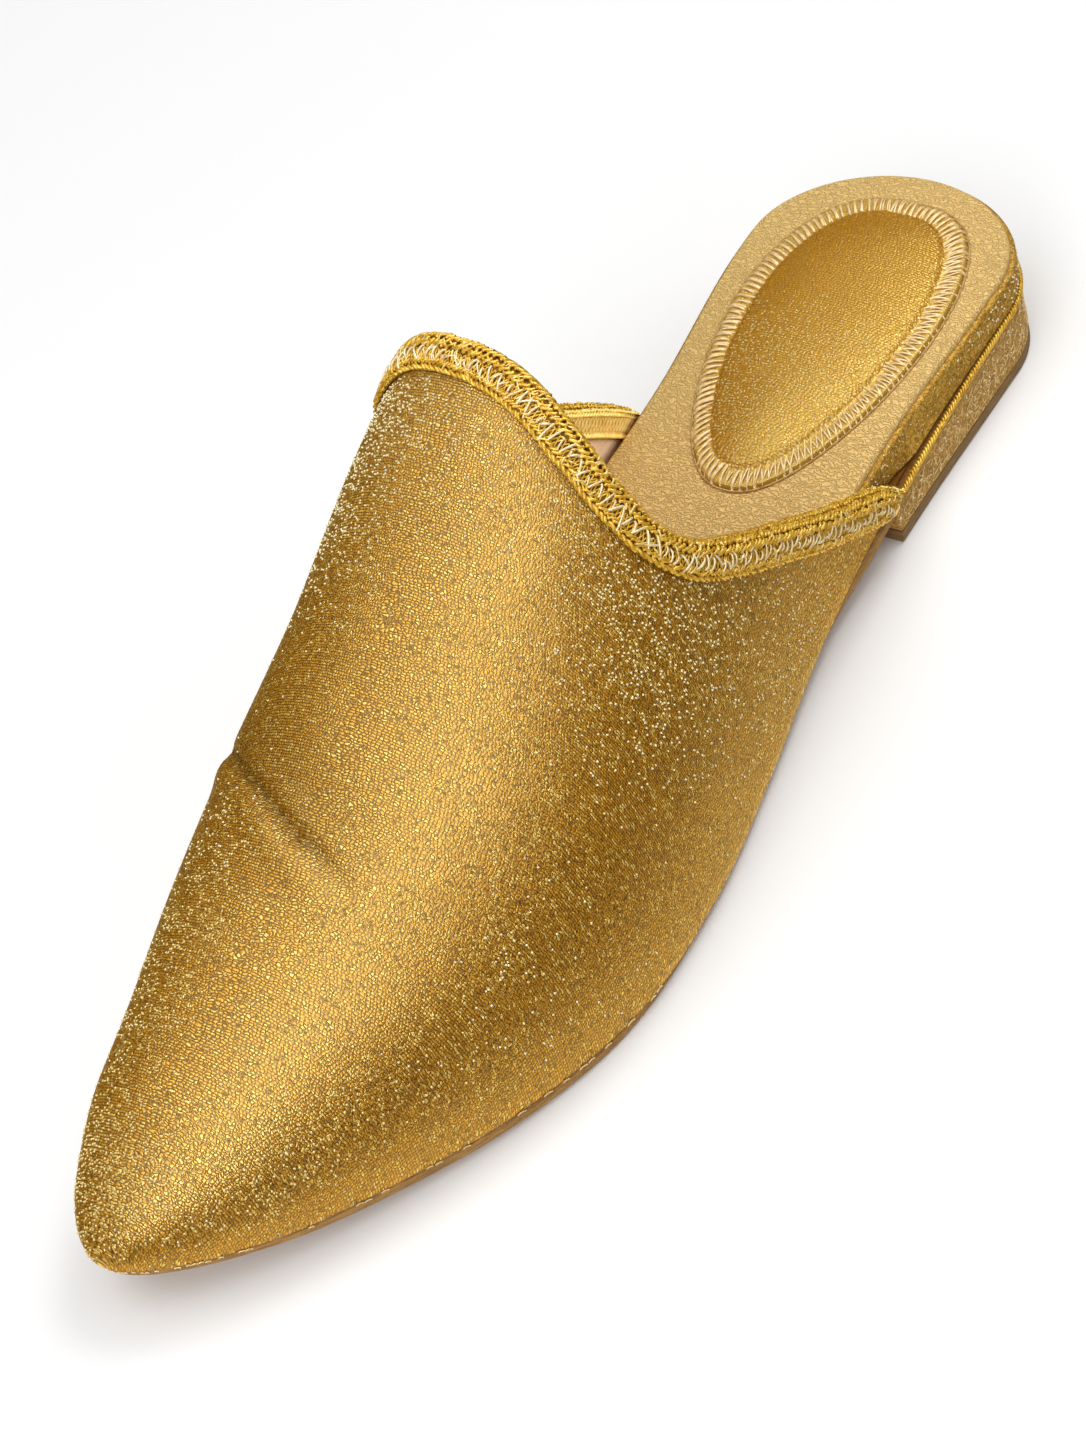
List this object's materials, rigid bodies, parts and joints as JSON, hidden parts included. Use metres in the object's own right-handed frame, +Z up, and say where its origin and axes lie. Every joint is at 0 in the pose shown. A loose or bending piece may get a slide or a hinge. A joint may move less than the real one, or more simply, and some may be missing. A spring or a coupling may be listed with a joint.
{
  "type": "babouche",
  "caption": "Backless pointed-toe slipper in gold glitter cloth with a high instep peak, braided top edge, padded footbed and low block heel.",
  "frame": {"origin": "on the floor under the middle of the shoe's box", "axes": "+X along the foot towards the toe, +Y towards the outer side of the left foot, +Z up"},
  "size_m": [0.2628, 0.0814, 0.0829],
  "materials": {
    "lame_cloth": "gold lame cloth with a fine weave, satin sheen and scattered glitter",
    "braid": "bright gold braid laced with pale metallic thread",
    "glitter_cloth": "tan gold cloth with pale glitter flecks",
    "cord": "bright twisted gold cord",
    "sock": "pale gold coated sheet with a fine grain",
    "satin": "gold satin with fine sparkles",
    "sole": "matte tan resin sheet",
    "top_lift": "matte brown rubber"
  },
  "bodies": {
    "root": {"outsole": "sole", "heel_block": "glitter_cloth", "heel_top_lift": "top_lift", "heel_cord": "cord", "footbed": "glitter_cloth", "insole_sock": "sock", "heel_pad": "satin", "upper": "lame_cloth", "topline_braid": "braid"}
  },
  "joints": []
}
